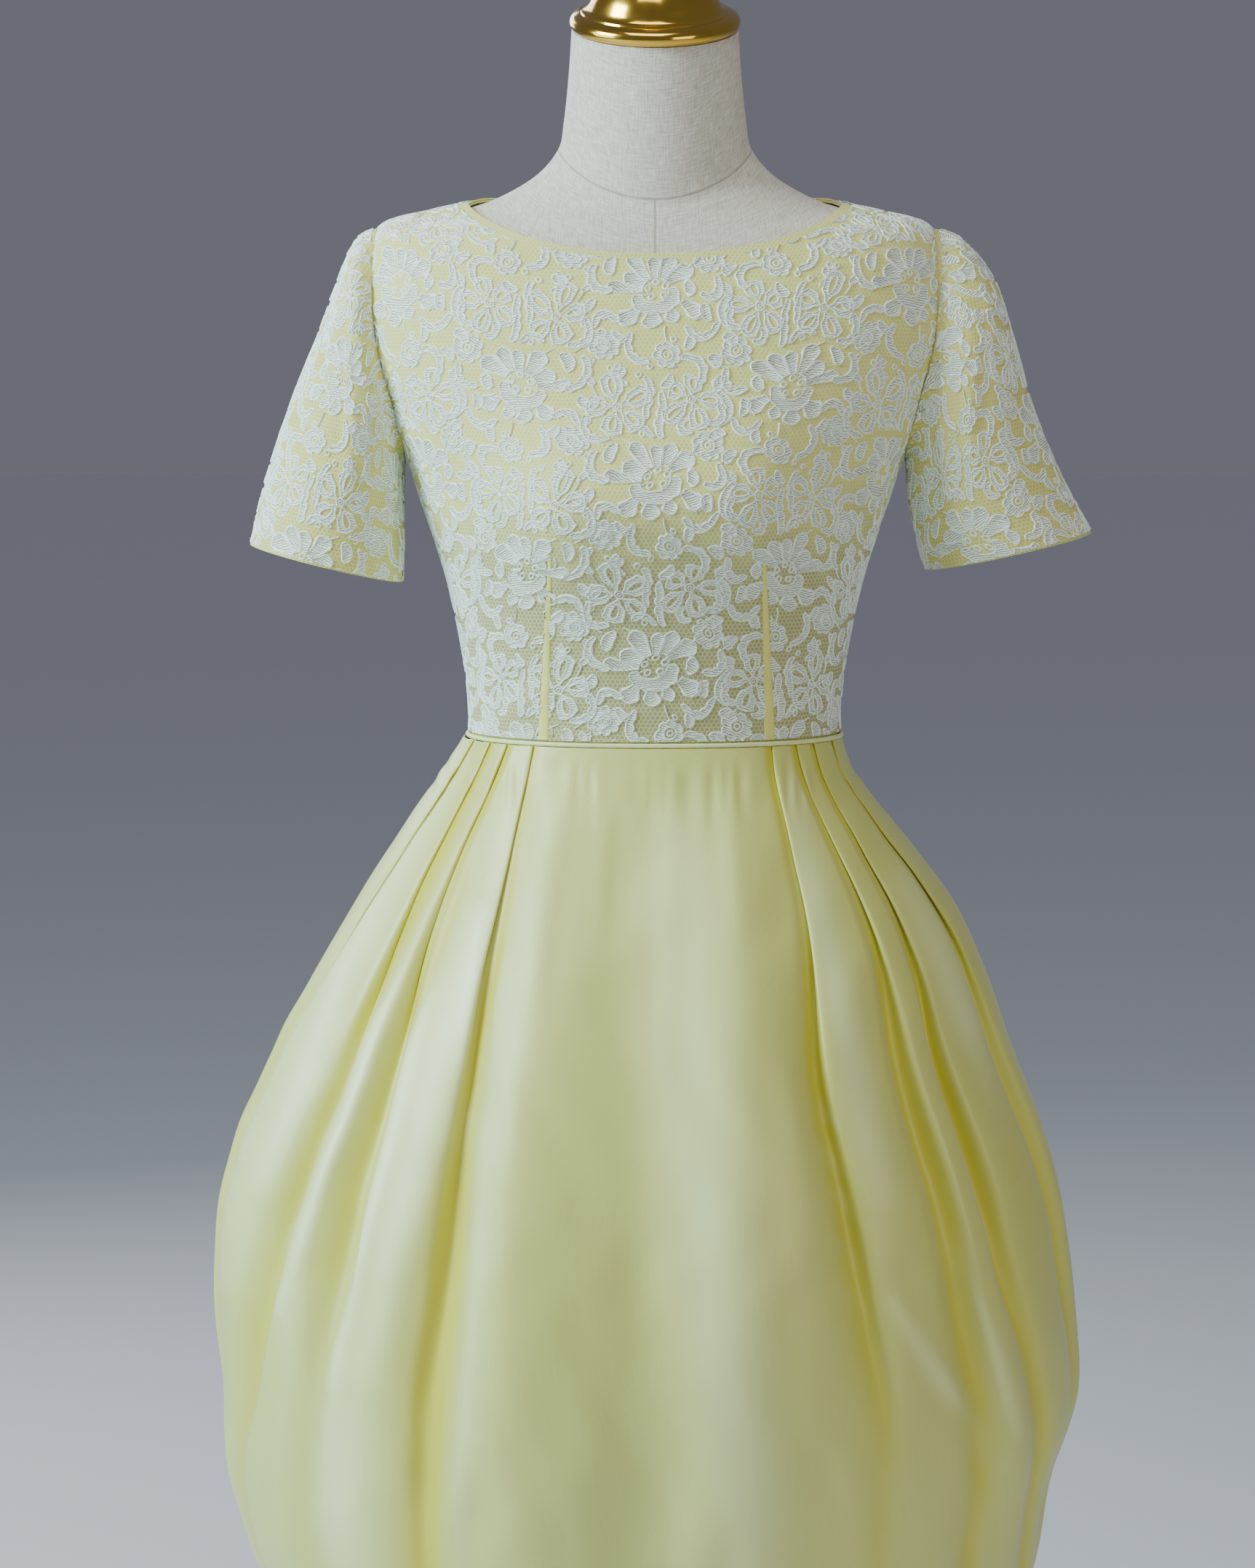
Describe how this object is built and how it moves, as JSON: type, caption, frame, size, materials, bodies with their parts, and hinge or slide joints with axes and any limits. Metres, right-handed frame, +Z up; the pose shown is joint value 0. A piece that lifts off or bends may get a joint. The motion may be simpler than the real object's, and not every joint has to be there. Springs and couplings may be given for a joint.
{
  "type": "prom dress on a limbless dress form with stand",
  "caption": "Tea-length prom dress with a short-sleeved floral lace bodice and a pleated satin tulip skirt, on a linen dress form with a capped neck and a round-footed pole.",
  "frame": {"origin": "middle of the stand base's underside, on the floor", "axes": "+Z up through the pole; the dress faces -Y; +X is the wearer's left"},
  "size_m": [0.5756, 0.4858, 1.552],
  "materials": {
    "form_linen": "plain woven natural linen, matte",
    "cap_gold": "polished gold",
    "stand_gold": "polished gold",
    "lining_taffeta": "pale yellow taffeta, soft sheen",
    "lace_nylon": "white floral nylon lace",
    "skirt_satin": "pale lemon satin, lustrous",
    "zip_metal": "bare metal zip"
  },
  "bodies": {
    "dress_and_form": {"dress_form_torso": "form_linen", "neck_cap": "cap_gold", "stand_base": "stand_gold", "stand_pole": "stand_gold", "lining_front": "lining_taffeta", "lining_back_left": "lining_taffeta", "lining_back_right": "lining_taffeta", "sleeve_lining_left": "lining_taffeta", "sleeve_lining_right": "lining_taffeta", "lace_front": "lace_nylon", "lace_back_left": "lace_nylon", "lace_back_right": "lace_nylon", "sleeve_lace_left_front": "lace_nylon", "sleeve_lace_left_back": "lace_nylon", "sleeve_lace_right_front": "lace_nylon", "sleeve_lace_right_back": "lace_nylon", "waist_piping": "skirt_satin", "skirt_front": "skirt_satin", "skirt_back_left": "skirt_satin", "skirt_back_right": "skirt_satin", "zip_chain": "zip_metal", "zip_slider": "zip_metal"},
    "pull_tab": {"zip_pull": "zip_metal"}
  },
  "joints": [
    {"name": "zip_pull_hinge", "type": "hinge", "parent": "dress_and_form", "child": "pull_tab", "pos_m": [0, 0.08824, 1.35808], "axis": [1, 0, 0], "range_deg": [0, 150]}
  ]
}
